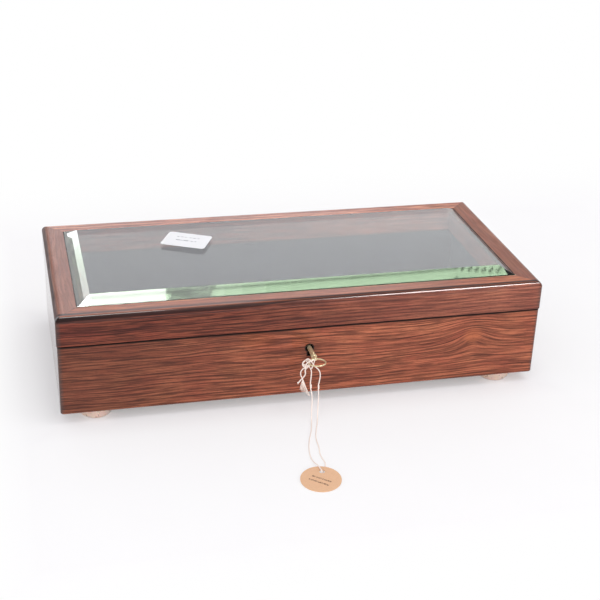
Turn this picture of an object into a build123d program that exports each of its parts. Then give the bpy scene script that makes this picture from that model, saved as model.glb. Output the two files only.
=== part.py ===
from build123d import *
import os
from math import cos, pi, radians, sin, tan

# Table-top coin display case: a mitred hardwood tray with a hinged, glazed lid,
# a let-in box lock with its pipe key, two let-in butt hinges and four bumper feet.
# Millimetres. Z is up, the front faces -Y, and the origin is on the table under
# the middle of the case.

# ---- driving sizes ----------------------------------------------------------

# Case
case_length = 400.0        # over the lid, along X
case_depth = 188.0         # over the lid, along Y
base_height = 59.5
lid_height = 25.0
joint_gap = 0.3            # open joint between tray and lid
lid_overhang = 0.5         # the lid stands proud of the tray all round
wall = 14.0                # thickness of the tray's sides
upright_radius = 2.5       # rounding of the four upright corners
base_bevel = 0.8           # bevel of the tray's lower edge
lid_top_round = 4.5        # rounding of the lid's upper edge
lid_low_bevel = 0.8        # bevel of the lid's lower edge
bottom_thickness = 6.0
bottom_rise = 3.0          # the bottom board's recess above the tray's lower edge
groove_depth = 5.0         # how far the bottom board enters the sides
groove_clearance = 0.2

# Lining
floor_pad = 3.0            # velvet on board, laid on the bottom
wall_pad = 1.6             # velvet on card, up the sides
pad_clearance = 0.2
pad_below_rim = 0.8

# Feet
foot_height = 9.0
foot_diameter = 27.5
foot_contact = 13.0        # diameter of the flat that meets the table
foot_slope = 5.0           # height of the foot's sloping part
foot_shoulder = 1.3        # bevel between the sloping part and the upright part
foot_sides = 24            # the soft dome is kept plain
foot_inset_x = 29.0        # foot centre from the end of the case
foot_inset_y = 17.0        # foot centre from the front or back

# Glazing
lid_face = 17.8            # width of the frame seen from above
ledge = 5.2                # the step that carries the glass
glass_edge = 2.6           # thickness of the glass at its edge
bevel_rise = 5.4
bevel_width = 10.8
glass_gap = 0.5            # open line between glass and wood
mastic = 0.6               # bedding under the glass
mastic_inset = 0.8         # from the glass's edge and from the ledge's edge

# Price label on the glass
label_length = 39.0
label_width = 28.5
label_thickness = 0.2
label_corner = 3.0
label_turn = -26.0
label_from_end = 101.7      # its middle from the left end of the glass
label_from_back = 47.7      # its middle from the back of the glass

# Lock
lock_x = 1.0               # the key's axis from the middle of the front
key_drop = 18.0            # the key's axis below the tray's rim
lock_skin = 4.0            # wood left in front of the lock
plate_length = 56.0
plate_height = 32.0
plate_thickness = 1.5
cap_length = 38.0
cap_thickness = 0.8
cap_drop = 9.0             # the cap's lower edge below the key's axis
lock_clearance = 0.2       # between the lock and its mortise
keyhole_radius = 3.2
keyhole_drop = 7.1         # foot of the keyhole below the key's axis
keyhole_slot = 3.0
cap_keyhole_slot = 2.4
staple_spacing = 14.0
staple_thickness = 2.0
staple_width = 5.0
staple_reach = 9.0         # how far the staples hang below the rim
staple_bar = 1.5           # metal under the staple's eye
eye_height = 3.8
eye_width = 3.2
slot_clearance = 0.6       # around each staple in the lock's upper plate
bolt_travel = 6.0
bolt_thickness = 2.4
bolt_edge = 4.0            # the bolt's lower edge above the key's axis
bolt_bar = 4.5             # height of the bolt's bar
talon_depth = 2.1
talon_half = 3.2
finger_length = 5.8
finger_height = 2.8
finger_back = 0.6          # from the finger's tip to the staple, unlocked
arm_width = 3.0
slide_clearance = 0.1
stump_radius = 1.0
stump_offset = 8.0
bearing = 0.05             # radial clearance of a shaft in its hole

# Key
shaft_radius = 2.2
pin_radius = 1.1
pin_gap = 0.4              # from the shaft's end to the lock plate
pipe_depth = 7.1
pin_short = 0.8            # the lock's pin stops this far from the pipe's end
bit_reach = 5.5
bit_thickness = 1.8
bit_width = 4.6
bit_set_back = 1.0         # from the shaft's end to the bit
ward_cut = 0.9
collar_radius = 2.9
collar_length = 1.6
collar_out = 14.0          # from the front of the tray to the collar
neck_radius = 1.8
neck_length = 3.4
bow_width = 16.0
bow_length = 14.0
bow_band = 1.9
bow_thickness = 1.9

# Hinges
hinge_length = 38.0
hinge_inset = 52.0         # hinge centre from the end of the case
leaf_depth = 10.5
leaf_thickness = 1.3
barrel_radius = 2.5
barrel_back = 0.2          # from the back of the lid to the barrel
barrel_play = 0.15         # end play between knuckles
knuckles = 3
hinge_pin_radius = 1.1

# Ticket and its string
string_diameter = 0.9
string_sides = 6            # sides of the solid that stands for the round string
ticket_diameter = 31.0
ticket_thickness = 0.5
ticket_hole = 4.2
ticket_tilt = 3.0          # the string under one edge lifts the ticket
ticket_x = -16.5
ticket_y = -206.5
hole_from_centre = 9.2
hole_bearing = 70.0        # direction of the hole from the ticket's middle, from +X

# ---- levels and faces -------------------------------------------------------

base_bottom = foot_height
base_top = base_bottom + base_height
lid_bottom = base_top + joint_gap
lid_top = lid_bottom + lid_height
base_half_x = case_length / 2 - lid_overhang
base_half_y = case_depth / 2 - lid_overhang
lid_half_x = case_length / 2
lid_half_y = case_depth / 2
well_half_x = base_half_x - wall
well_half_y = base_half_y - wall
bottom_under = base_bottom + bottom_rise
bottom_top = bottom_under + bottom_thickness
pad_top = bottom_top + floor_pad
sight_half_x = lid_half_x - lid_face
sight_half_y = lid_half_y - lid_face
daylight_half_x = sight_half_x - ledge
daylight_half_y = sight_half_y - ledge
ledge_top = lid_top - glass_edge - mastic
glass_under = ledge_top + mastic
glass_top = lid_top + bevel_rise
glass_half_x = sight_half_x - glass_gap
glass_half_y = sight_half_y - glass_gap

front = -base_half_y                      # outer face of the tray's front
front_inside = front + wall
key_z = base_top - key_drop
lock_front = front + lock_skin + lock_clearance
lock_back = front_inside
plate_front = lock_back - plate_thickness
cap_front = lock_front
cap_bottom = key_z - cap_drop
selvedge_under = base_top - plate_thickness
selvedge_front = cap_front
bolt_y = (cap_front + cap_thickness + plate_front) / 2
staple_bottom = base_top - staple_reach
eye_bottom = staple_bottom + staple_bar
finger_z = eye_bottom + eye_height / 2
shaft_end = plate_front - pin_gap
staple_xs = [lock_x - staple_spacing / 2, lock_x + staple_spacing / 2]

hinge_y = lid_half_y + barrel_back + barrel_radius
hinge_z = base_top + joint_gap / 2
hinge_xs = [-(lid_half_x - hinge_inset), lid_half_x - hinge_inset]

os.makedirs("parts", exist_ok=True)


def finish(piece, node):
    """Label a finished piece and write it."""
    piece.part.label = node
    export_step(piece.part, f"parts/{node}.step")


def front_plane(y):
    """An upright sketch plane at this y, drawn in X and Z, with its normal to the front."""
    return Plane(origin=(0, y, 0), x_dir=(1, 0, 0), z_dir=(0, -1, 0))


# ---- mitred frames ----------------------------------------------------------


def mitred_stick(frame, half_x, half_y, turn):
    """One side of a frame, cut at 45 degrees at both ends. turn is 0 for the front."""
    along, across = (half_x, half_y) if turn % 180 == 0 else (half_y, half_x)
    cuts = [
        ((-along, -across), (1, -1)),
        ((along, -across), (-1, -1)),
        ((0, 0), (0, -1)),
    ]
    with BuildPart() as stick:
        add(frame.part)
        for point, kept_side in cuts:
            cut_plane = Plane(
                origin=Vector(*point).rotate(Axis.Z, turn),
                z_dir=Vector(*kept_side).rotate(Axis.Z, turn),
            )
            split(bisect_by=cut_plane, keep=Keep.TOP)
    return stick


def block(half_x, half_y, low, high):
    """Add a rectangular block between two levels to the part being built."""
    with BuildSketch(Plane.XY.offset(low)) as plan:
        Rectangle(2 * half_x, 2 * half_y)
    extrude(plan.sketch, amount=high - low)


def cut(half_x, half_y, low, high):
    """Cut a rectangular block between two levels from the part being built."""
    with BuildSketch(Plane.XY.offset(low)) as plan:
        Rectangle(2 * half_x, 2 * half_y)
    extrude(plan.sketch, amount=high - low, mode=Mode.SUBTRACT)


with BuildPart() as base_frame:
    block(base_half_x, base_half_y, base_bottom, base_top)
    fillet(edges().filter_by(Axis.Z), radius=upright_radius)
    chamfer(faces().sort_by(Axis.Z)[0].edges(), length=base_bevel)
    cut(well_half_x, well_half_y, base_bottom, base_top)
    cut(
        well_half_x + groove_depth,
        well_half_y + groove_depth,
        bottom_under,
        bottom_top,
    )

with BuildPart() as lid_frame:
    block(lid_half_x, lid_half_y, lid_bottom, lid_top)
    fillet(faces().sort_by(Axis.Z)[-1].edges(), radius=lid_top_round)
    # the upright corners and the short mitred edges where the bullnoses meet
    corner_edges = edges().filter_by(
        lambda edge: abs(edge.center().X) > lid_half_x - lid_top_round
        and abs(edge.center().Y) > lid_half_y - lid_top_round
    )
    fillet(corner_edges, radius=upright_radius)
    chamfer(faces().sort_by(Axis.Z)[0].edges(), length=lid_low_bevel)
    cut(daylight_half_x, daylight_half_y, lid_bottom, lid_top)
    cut(sight_half_x, sight_half_y, ledge_top, lid_top)


selvedge_y = (selvedge_front + lock_back) / 2


# ---- tray -------------------------------------------------------------------


def keyhole(round_radius, slot_width, drop):
    """A keyhole's outline about the key's axis: a round with a slot below it."""
    with Locations((lock_x, key_z)):
        Circle(round_radius)
    with Locations((lock_x, key_z - drop / 2)):
        Rectangle(slot_width, drop)


with BuildPart() as case_front:
    add(mitred_stick(base_frame, base_half_x, base_half_y, 0).part)
    # pocket for the cap, then the shallow beds of the plate and the selvedge
    with BuildSketch(front_plane(lock_back)):
        with Locations((lock_x, base_top)):
            Rectangle(
                cap_length + 2 * lock_clearance,
                base_top - cap_bottom + lock_clearance,
                align=(Align.CENTER, Align.MAX),
            )
    extrude(amount=lock_back - front - lock_skin, mode=Mode.SUBTRACT)
    with BuildSketch(front_plane(lock_back)):
        with Locations((lock_x, base_top)):
            Rectangle(
                plate_length + 2 * lock_clearance,
                plate_height + lock_clearance,
                align=(Align.CENTER, Align.MAX),
            )
    extrude(amount=plate_thickness, mode=Mode.SUBTRACT)
    with BuildSketch(front_plane(lock_back)):
        with Locations((lock_x, base_top)):
            Rectangle(
                plate_length + 2 * lock_clearance,
                plate_thickness,
                align=(Align.CENTER, Align.MAX),
            )
    extrude(amount=lock_back - front - lock_skin, mode=Mode.SUBTRACT)
    with BuildSketch(front_plane(front + lock_skin)):
        keyhole(keyhole_radius, keyhole_slot, keyhole_drop)
    extrude(amount=lock_skin, mode=Mode.SUBTRACT)
finish(case_front, "case_front")


def leaf_bed(hinge_x, z_low, z_high, back):
    """Cut the shallow bed of a hinge leaf into the stick being built."""
    with BuildSketch(Plane.XY.offset(z_low)) as bed:
        with Locations((hinge_x, base_half_y - leaf_depth)):
            Rectangle(hinge_length, back, align=(Align.CENTER, Align.MIN))
    extrude(bed.sketch, amount=z_high - z_low, mode=Mode.SUBTRACT)


with BuildPart() as case_back:
    add(mitred_stick(base_frame, base_half_x, base_half_y, 180).part)
    for hinge_x in hinge_xs:
        leaf_bed(hinge_x, base_top - leaf_thickness, base_top, 2 * leaf_depth)
finish(case_back, "case_back")

case_right = mitred_stick(base_frame, base_half_x, base_half_y, 90)
finish(case_right, "case_right")
case_left = mitred_stick(base_frame, base_half_x, base_half_y, 270)
finish(case_left, "case_left")

with BuildPart() as bottom_board:
    with BuildSketch(Plane.XY.offset(bottom_under)):
        Rectangle(
            2 * (well_half_x + groove_depth - groove_clearance),
            2 * (well_half_y + groove_depth - groove_clearance),
        )
    extrude(amount=bottom_thickness)
finish(bottom_board, "bottom_board")


# ---- velvet-covered lining --------------------------------------------------

with BuildPart() as floor_lining:
    with BuildSketch(Plane.XY.offset(bottom_top)):
        Rectangle(2 * (well_half_x - pad_clearance), 2 * (well_half_y - pad_clearance))
    extrude(amount=floor_pad)
finish(floor_lining, "floor_lining")

lining_height = base_top - pad_below_rim - pad_top


def wall_lining(length, height):
    """A lining card lying at the origin in X and Z, its velvet face towards -Y."""
    with BuildPart() as card:
        with BuildSketch(front_plane(0)):
            Rectangle(length, height, align=(Align.CENTER, Align.MIN))
        extrude(amount=wall_pad)
    return card


with BuildPart() as lining_back:
    with Locations(Location((0, well_half_y, pad_top))):
        add(wall_lining(2 * (well_half_x - pad_clearance), lining_height).part)
finish(lining_back, "lining_back")

with BuildPart() as lining_front:
    with Locations(Location((0, -well_half_y, pad_top), (0, 0, 180))):
        add(wall_lining(2 * (well_half_x - pad_clearance), lining_height).part)
    with BuildSketch(front_plane(front_inside + wall_pad)):
        with Locations((lock_x, base_top)):
            Rectangle(
                plate_length + 2 * pad_clearance,
                plate_height + pad_clearance,
                align=(Align.CENTER, Align.MAX),
            )
    extrude(amount=wall_pad, mode=Mode.SUBTRACT)
finish(lining_front, "lining_front")

side_lining = 2 * (well_half_y - wall_pad - pad_clearance)
with BuildPart() as lining_right:
    with Locations(Location((well_half_x, 0, pad_top), (0, 0, -90))):
        add(wall_lining(side_lining, lining_height).part)
finish(lining_right, "lining_right")

with BuildPart() as lining_left:
    with Locations(Location((-well_half_x, 0, pad_top), (0, 0, 90))):
        add(wall_lining(side_lining, lining_height).part)
finish(lining_left, "lining_left")


# ---- feet -------------------------------------------------------------------

foot_names = {
    "foot_front_left": (-1, -1),
    "foot_front_right": (1, -1),
    "foot_back_left": (-1, 1),
    "foot_back_right": (1, 1),
}
slope_width = (foot_diameter - foot_contact) / 2 * cos(pi / foot_sides)

for foot_name, (side_x, side_y) in foot_names.items():
    foot_x = side_x * (lid_half_x - foot_inset_x)
    foot_y = side_y * (lid_half_y - foot_inset_y)
    with BuildPart() as foot:
        with BuildSketch():
            with Locations((foot_x, foot_y)):
                RegularPolygon(foot_diameter / 2, foot_sides)
        extrude(amount=foot_height)
        sole = faces().sort_by(Axis.Z)[0]
        chamfer(sole.edges(), length=slope_width, length2=foot_slope, reference=sole)
        chamfer(edges().group_by(Axis.Z)[2], length=foot_shoulder)
    finish(foot, foot_name)


# ---- lid --------------------------------------------------------------------

with BuildPart() as lid_front:
    add(mitred_stick(lid_frame, lid_half_x, lid_half_y, 0).part)
    with BuildSketch(Plane.XY.offset(lid_bottom)):
        with Locations((lock_x, selvedge_y)):
            Rectangle(
                plate_length + 2 * lock_clearance,
                lock_back - selvedge_front + 2 * lock_clearance,
            )
    extrude(amount=plate_thickness, mode=Mode.SUBTRACT)
finish(lid_front, "lid_front")

with BuildPart() as lid_back:
    add(mitred_stick(lid_frame, lid_half_x, lid_half_y, 180).part)
    for hinge_x in hinge_xs:
        leaf_bed(hinge_x, lid_bottom, lid_bottom + leaf_thickness, 2 * leaf_depth)
finish(lid_back, "lid_back")

lid_right = mitred_stick(lid_frame, lid_half_x, lid_half_y, 90)
finish(lid_right, "lid_right")
lid_left = mitred_stick(lid_frame, lid_half_x, lid_half_y, 270)
finish(lid_left, "lid_left")

with BuildPart() as glazing_mastic:
    with BuildSketch(Plane.XY.offset(ledge_top)):
        Rectangle(2 * (glass_half_x - mastic_inset), 2 * (glass_half_y - mastic_inset))
        Rectangle(
            2 * (daylight_half_x + mastic_inset),
            2 * (daylight_half_y + mastic_inset),
            mode=Mode.SUBTRACT,
        )
    extrude(amount=mastic)
finish(glazing_mastic, "glazing_mastic")

with BuildPart() as glass_pane:
    with BuildSketch(Plane.XY.offset(glass_under)):
        Rectangle(2 * glass_half_x, 2 * glass_half_y)
    extrude(amount=glass_edge)
    with BuildSketch(Plane.XY.offset(lid_top)):
        Rectangle(2 * glass_half_x, 2 * glass_half_y)
    with BuildSketch(Plane.XY.offset(glass_top)):
        Rectangle(2 * (glass_half_x - bevel_width), 2 * (glass_half_y - bevel_width))
    loft(ruled=True)
finish(glass_pane, "glass_pane")

with BuildPart() as price_label:
    label_middle = (label_from_end - glass_half_x, glass_half_y - label_from_back, glass_top)
    label_plane = Plane(origin=label_middle).rotated((0, 0, label_turn))
    with BuildSketch(label_plane):
        RectangleRounded(label_length, label_width, label_corner)
    extrude(amount=label_thickness)
finish(price_label, "price_label")


# ---- lock -------------------------------------------------------------------

stump_z = key_z + bolt_edge - stump_radius - bearing
stump_xs = [lock_x - stump_offset, lock_x + stump_offset]

with BuildPart() as lock_plate:
    with BuildSketch(front_plane(lock_back)):
        with Locations((lock_x, base_top)):
            Rectangle(plate_length, plate_height, align=(Align.CENTER, Align.MAX))
        with Locations((lock_x, key_z)):
            Circle(pin_radius, mode=Mode.SUBTRACT)
        with Locations(*[(x, stump_z) for x in stump_xs]):
            Circle(stump_radius, mode=Mode.SUBTRACT)
    extrude(amount=plate_thickness)
    with BuildSketch(Plane.XY.offset(selvedge_under)):
        with Locations((lock_x, lock_back)):
            Rectangle(
                plate_length,
                lock_back - selvedge_front,
                align=(Align.CENTER, Align.MAX),
            )
        with Locations(*[(x, bolt_y) for x in staple_xs]):
            Rectangle(
                staple_thickness + 2 * slot_clearance,
                staple_width + 2 * slot_clearance,
                mode=Mode.SUBTRACT,
            )
    extrude(amount=plate_thickness)
finish(lock_plate, "lock_plate")

with BuildPart() as lock_cap:
    with BuildSketch(front_plane(plate_front)):
        with Locations((lock_x, selvedge_under)):
            Rectangle(
                cap_length, selvedge_under - cap_bottom, align=(Align.CENTER, Align.MAX)
            )
    extrude(amount=plate_front - cap_front)
    with BuildSketch(front_plane(plate_front)):
        with Locations((lock_x, selvedge_under)):
            Rectangle(
                cap_length - 2 * cap_thickness,
                selvedge_under - cap_bottom - cap_thickness,
                align=(Align.CENTER, Align.MAX),
            )
    extrude(amount=plate_front - cap_front - cap_thickness, mode=Mode.SUBTRACT)
    with BuildSketch(front_plane(cap_front + cap_thickness)):
        keyhole(shaft_radius + bearing, cap_keyhole_slot, bit_reach + bolt_edge / 8)
    extrude(amount=cap_thickness, mode=Mode.SUBTRACT)
finish(lock_cap, "lock_cap")

with BuildPart() as lock_pin:
    with BuildSketch(front_plane(lock_back)):
        with Locations((lock_x, key_z)):
            Circle(pin_radius)
    extrude(amount=lock_back - shaft_end + pipe_depth - pin_short)
finish(lock_pin, "lock_pin")

with BuildPart() as lock_stumps:
    with BuildSketch(front_plane(lock_back)):
        with Locations(*[(x, stump_z) for x in stump_xs]):
            Circle(stump_radius)
    extrude(amount=lock_back - bolt_y + bolt_thickness / 2)
finish(lock_stumps, "lock_stumps")

with BuildPart() as lock_bolt:
    bar_low = key_z + bolt_edge
    arm_top = selvedge_under - slide_clearance
    finger_tips = [x - staple_thickness / 2 - finger_back for x in staple_xs]
    arm_lefts = [tip - finger_length - arm_width for tip in finger_tips]
    bar_right = lock_x + stump_offset + stump_radius
    with BuildSketch(front_plane(bolt_y + bolt_thickness / 2)):
        with Locations((arm_lefts[0], bar_low)):
            Rectangle(bar_right - arm_lefts[0], bolt_bar, align=(Align.MIN, Align.MIN))
        for arm_left, tip in zip(arm_lefts, finger_tips):
            with Locations((arm_left, bar_low)):
                Rectangle(arm_width, arm_top - bar_low, align=(Align.MIN, Align.MIN))
            with Locations((arm_left, finger_z)):
                Rectangle(tip - arm_left, finger_height, align=(Align.MIN, Align.CENTER))
        with Locations((lock_x - bolt_travel / 2, bar_low)):
            Rectangle(2 * talon_half, 2 * talon_depth, mode=Mode.SUBTRACT)
    extrude(amount=bolt_thickness)
finish(lock_bolt, "lock_bolt")

with BuildPart() as link_plate:
    with BuildSketch(Plane.XY.offset(lid_bottom)):
        with Locations((lock_x, selvedge_y)):
            Rectangle(plate_length, lock_back - selvedge_front)
    extrude(amount=plate_thickness)
    for staple_x in staple_xs:
        side_plane = Plane(
            origin=(staple_x - staple_thickness / 2, bolt_y, 0),
            x_dir=(0, 1, 0),
            z_dir=(1, 0, 0),
        )
        with BuildSketch(side_plane):
            with Locations((0, staple_bottom)):
                Rectangle(
                    staple_width,
                    lid_bottom - staple_bottom,
                    align=(Align.CENTER, Align.MIN),
                )
            with Locations((0, finger_z)):
                Rectangle(eye_width, eye_height, mode=Mode.SUBTRACT)
        extrude(amount=staple_thickness)
finish(link_plate, "link_plate")


# ---- key --------------------------------------------------------------------

collar_y = front - collar_out
neck_y = collar_y - collar_length
neck_end = neck_y - neck_length
bow_y = neck_end + bow_band / 2 - bow_length / 2


def turned(y_from, y_to, radius):
    """Add a turned length of the key between two distances along its axis."""
    with BuildSketch(front_plane(y_from)) as section:
        with Locations((lock_x, key_z)):
            Circle(radius)
    extrude(section.sketch, amount=y_from - y_to)


with BuildPart() as key:
    turned(shaft_end, collar_y, shaft_radius)
    turned(collar_y, neck_y, collar_radius)
    turned(neck_y, neck_end, neck_radius)
    with BuildSketch(Plane.XY.offset(key_z - bow_thickness / 2)):
        with Locations((lock_x, bow_y)):
            SlotOverall(bow_width, bow_length)
            SlotOverall(
                bow_width - 2 * bow_band, bow_length - 2 * bow_band, mode=Mode.SUBTRACT
            )
    extrude(amount=bow_thickness)
    # the bit lies to the left at rest, with one ward cut at its middle
    bit_plane = Plane.XY.offset(key_z - bit_thickness / 2)
    with BuildSketch(bit_plane):
        with Locations((lock_x, shaft_end - bit_set_back)):
            Rectangle(bit_reach, bit_width, align=(Align.MAX, Align.MAX))
    extrude(amount=bit_thickness)
    with BuildSketch(bit_plane):
        with Locations((lock_x - bit_reach, shaft_end - bit_set_back - bit_width / 5)):
            Rectangle(2 * ward_cut, ward_cut)
    extrude(amount=bit_thickness, mode=Mode.SUBTRACT)
    with BuildSketch(front_plane(shaft_end)):
        with Locations((lock_x, key_z)):
            Circle(pin_radius + bearing)
    extrude(amount=pipe_depth, mode=Mode.SUBTRACT)
finish(key, "key")


# ---- hinges -----------------------------------------------------------------


def leaf(hinge_x, z_low, z_high, own_knuckles):
    """A hinge leaf let in between two levels, with its share of the knuckles."""
    pitch = hinge_length / knuckles
    with BuildPart() as piece:
        with BuildSketch(Plane.XY.offset(z_low)):
            with Locations((hinge_x, base_half_y - leaf_depth)):
                Rectangle(
                    hinge_length,
                    lid_half_y - base_half_y + leaf_depth,
                    align=(Align.CENTER, Align.MIN),
                )
            for index in own_knuckles:
                knuckle_x = hinge_x + (index - (knuckles - 1) / 2) * pitch
                with Locations((knuckle_x, hinge_y)):
                    Rectangle(
                        pitch - 2 * barrel_play,
                        hinge_y - lid_half_y,
                        align=(Align.CENTER, Align.MAX),
                    )
        extrude(amount=z_high - z_low)
        for index in own_knuckles:
            knuckle_x = hinge_x + (index - (knuckles - 1) / 2) * pitch
            knuckle_plane = Plane(
                origin=(knuckle_x - pitch / 2 + barrel_play, hinge_y, hinge_z),
                x_dir=(0, 1, 0),
                z_dir=(1, 0, 0),
            )
            with BuildSketch(knuckle_plane):
                Circle(barrel_radius)
            extrude(amount=pitch - 2 * barrel_play)
        pin_plane = Plane(
            origin=(hinge_x - hinge_length / 2, hinge_y, hinge_z),
            x_dir=(0, 1, 0),
            z_dir=(1, 0, 0),
        )
        with BuildSketch(pin_plane):
            Circle(hinge_pin_radius + bearing)
        extrude(amount=hinge_length, mode=Mode.SUBTRACT)
    return piece


for side, hinge_x in zip(("left", "right"), hinge_xs):
    base_leaf = leaf(hinge_x, base_top - leaf_thickness, base_top, (0, 2))
    finish(base_leaf, f"hinge_{side}_base_leaf")

    lid_leaf = leaf(hinge_x, lid_bottom, lid_bottom + leaf_thickness, (1,))
    finish(lid_leaf, f"hinge_{side}_lid_leaf")

    with BuildPart() as hinge_pin:
        with BuildSketch(
            Plane(
                origin=(hinge_x - hinge_length / 2, hinge_y, hinge_z),
                x_dir=(0, 1, 0),
                z_dir=(1, 0, 0),
            )
        ):
            Circle(hinge_pin_radius)
        extrude(amount=hinge_length)
    finish(hinge_pin, f"hinge_{side}_pin")


# ---- ticket on its string ---------------------------------------------------

ticket_radius = ticket_diameter / 2
toward_hole = Vector(cos(radians(hole_bearing)), sin(radians(hole_bearing)), 0)
resting_edge = Vector(ticket_x, ticket_y, 0) - toward_hole * ticket_radius
ticket_plane = Plane(
    origin=resting_edge,
    x_dir=toward_hole * cos(radians(ticket_tilt)) + Vector(0, 0, sin(radians(ticket_tilt))),
    z_dir=Vector(0, 0, cos(radians(ticket_tilt))) - toward_hole * sin(radians(ticket_tilt)),
)

with BuildPart() as ticket:
    with BuildSketch(ticket_plane):
        with Locations((ticket_radius, 0)):
            Circle(ticket_radius)
        with Locations((ticket_radius + hole_from_centre, 0)):
            Circle(ticket_hole / 2, mode=Mode.SUBTRACT)
    extrude(amount=ticket_thickness)
finish(ticket, "ticket")

# From the knot over the key's neck, down and along the table, under the ticket's
# edge, up through its hole and back to the knot.
string_route = [
    (-4.2, -110.5, 46.2),
    (-3.4, -110.4, 49.6),
    (-1.2, -110.4, 53.2),
    (2.9, -110.4, 53.6),
    (5.3, -110.6, 50.2),
    (4.4, -111.2, 45.0),
    (5.6, -112.8, 36.5),
    (4.1, -114.6, 27.5),
    (4.3, -116.6, 18.5),
    (3.2, -119.2, 9.5),
    (2.2, -122.8, 2.6),
    (0.6, -128.5, 0.46),
    (-2.7, -138.0, 0.46),
    (-6.4, -150.5, 0.46),
    (-6.7, -163.0, 0.46),
    (-9.0, -174.5, 0.46),
    (-7.2, -185.0, 0.46),
    (-9.6, -192.0, 0.46),
    (-12.7, -197.0, 0.46),
    (-13.5, -198.4, 1.5),
    (-13.8, -197.9, 3.0),
    (-14.9, -191.2, 3.0),
    (-16.2, -184.5, 1.3),
    (-16.9, -176.0, 0.46),
    (-15.3, -164.0, 0.46),
    (-11.8, -151.5, 0.46),
    (-6.9, -139.0, 0.46),
    (-4.2, -129.0, 0.46),
    (-2.8, -123.0, 2.8),
    (-2.1, -119.4, 9.8),
    (-1.1, -117.2, 18.5),
    (-2.5, -115.0, 27.5),
    (-1.8, -113.2, 35.5),
    (-2.4, -111.8, 41.5),
    (-4.2, -111.2, 44.6),
]
long_tail_route = [
    (-6.0, -111.0, 43.6),
    (-9.3, -111.0, 39.5),
    (-10.1, -111.2, 35.5),
    (-8.2, -111.4, 30.0),
    (-5.7, -111.4, 24.8),
    (-2.7, -111.3, 19.4),
]
short_tail_route = [
    (-5.2, -110.2, 42.8),
    (-5.9, -109.8, 38.6),
    (-5.3, -109.6, 35.0),
    (-7.6, -109.6, 31.0),
    (-10.9, -109.8, 28.2),
]
knot_centre = (-5.0, -110.8, 45.0)
knot_radius = 2.3
knot_sides = 8


def corner_radii(route):
    """The largest arc that fits at each corner of a route."""
    radii = []
    for before, corner, after in zip(route, route[1:], route[2:]):
        arriving = Vector(*corner) - Vector(*before)
        leaving = Vector(*after) - Vector(*corner)
        half_turn = radians(arriving.get_angle(leaving) / 2)
        radii.append(0.45 * min(arriving.length, leaving.length) / tan(half_turn))
    return radii


def string_along(route):
    """A plain string that follows a route with an arc at each corner."""
    with BuildPart() as cord:
        with BuildLine() as path:
            FilletPolyline(*route, radius=corner_radii(route))
        with BuildSketch(Plane(origin=route[0], z_dir=path.line % 0)):
            RegularPolygon(string_diameter / 2, string_sides)
        sweep()
    return cord, sum(edge.length for edge in path.line.edges())


ticket_string, string_length = string_along(string_route)
finish(ticket_string, "ticket_string")
long_tail, long_tail_length = string_along(long_tail_route)
short_tail, short_tail_length = string_along(short_tail_route)
with BuildPart() as string_tails:
    add(long_tail.part)
    add(short_tail.part)
finish(string_tails, "string_tails")

with BuildPart() as string_knot:
    with BuildSketch(Plane(origin=knot_centre)):
        RegularPolygon(knot_radius, knot_sides)
    extrude(amount=knot_radius, both=True)
    chamfer(faces().filter_by(Axis.Z).edges(), length=knot_radius / 2)
finish(string_knot, "string_knot")

section_area = string_sides / 8 * string_diameter**2 * sin(2 * pi / string_sides)
straight_volume = section_area * string_length
print("string's corner radii, mm:", [round(r, 1) for r in corner_radii(string_route)])
print("string's length, mm:", round(string_length, 1))
print("volume over section times length:", ticket_string.part.volume / straight_volume)
print("tails, mm:", round(long_tail_length, 1), round(short_tail_length, 1))
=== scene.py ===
"""Coin display case in figured rosewood: bevelled glass lid, velvet lining, key and string ticket."""

import math

import bmesh
import bpy
from mathutils import Matrix, Vector


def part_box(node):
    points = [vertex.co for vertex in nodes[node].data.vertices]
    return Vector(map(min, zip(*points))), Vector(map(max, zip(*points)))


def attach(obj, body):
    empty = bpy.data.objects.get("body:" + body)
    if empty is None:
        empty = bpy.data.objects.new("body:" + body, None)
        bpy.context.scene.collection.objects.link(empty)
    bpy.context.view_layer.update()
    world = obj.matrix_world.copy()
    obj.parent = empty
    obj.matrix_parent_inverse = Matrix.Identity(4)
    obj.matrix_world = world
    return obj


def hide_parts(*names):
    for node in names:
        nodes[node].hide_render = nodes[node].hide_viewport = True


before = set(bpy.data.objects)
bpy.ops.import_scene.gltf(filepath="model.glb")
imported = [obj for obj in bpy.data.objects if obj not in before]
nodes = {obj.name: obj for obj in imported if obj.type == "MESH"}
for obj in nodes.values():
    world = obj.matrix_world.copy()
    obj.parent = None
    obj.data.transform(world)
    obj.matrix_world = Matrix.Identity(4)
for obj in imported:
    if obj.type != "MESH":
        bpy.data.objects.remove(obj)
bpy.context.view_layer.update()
MM = 0.001


# ---- sizes and places, in millimetres ----

HALF_LENGTH = 200.0
HALF_DEPTH = 94.0
BASE_TOP = 68.5
JOINT_LEVEL = 68.65
LID_BOTTOM = 68.8
LID_TOP = 93.8
LID_ROUND = 4.5
# the opening that the glass lies in, as half sizes, a level above the glass's seat, and
# the line's clean stretch in front
GLASS_LINE_X = 182.35
GLASS_LINE_Y = 76.35
GLASS_LINE_LEVEL = 90.0
CLEAN_LINE_Y = -75.0
KEY_X = 1.0
KEY_Z = 50.5
KEYHOLE_MIDDLE = KEY_Z - 2.5
KEYHOLE_FOOT = KEY_Z - 7.7
DEEP_KEYHOLE = -87.2
LABEL_PLACE = (-80.0, 28.0)
TICKET_PLACE = (-17.6, -208.5)


def place_object(name, data):
    """Adds an object to the scene."""
    placed = bpy.data.objects.new(name, data)
    bpy.context.scene.collection.objects.link(placed)
    return placed


# ---- camera ----

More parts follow.
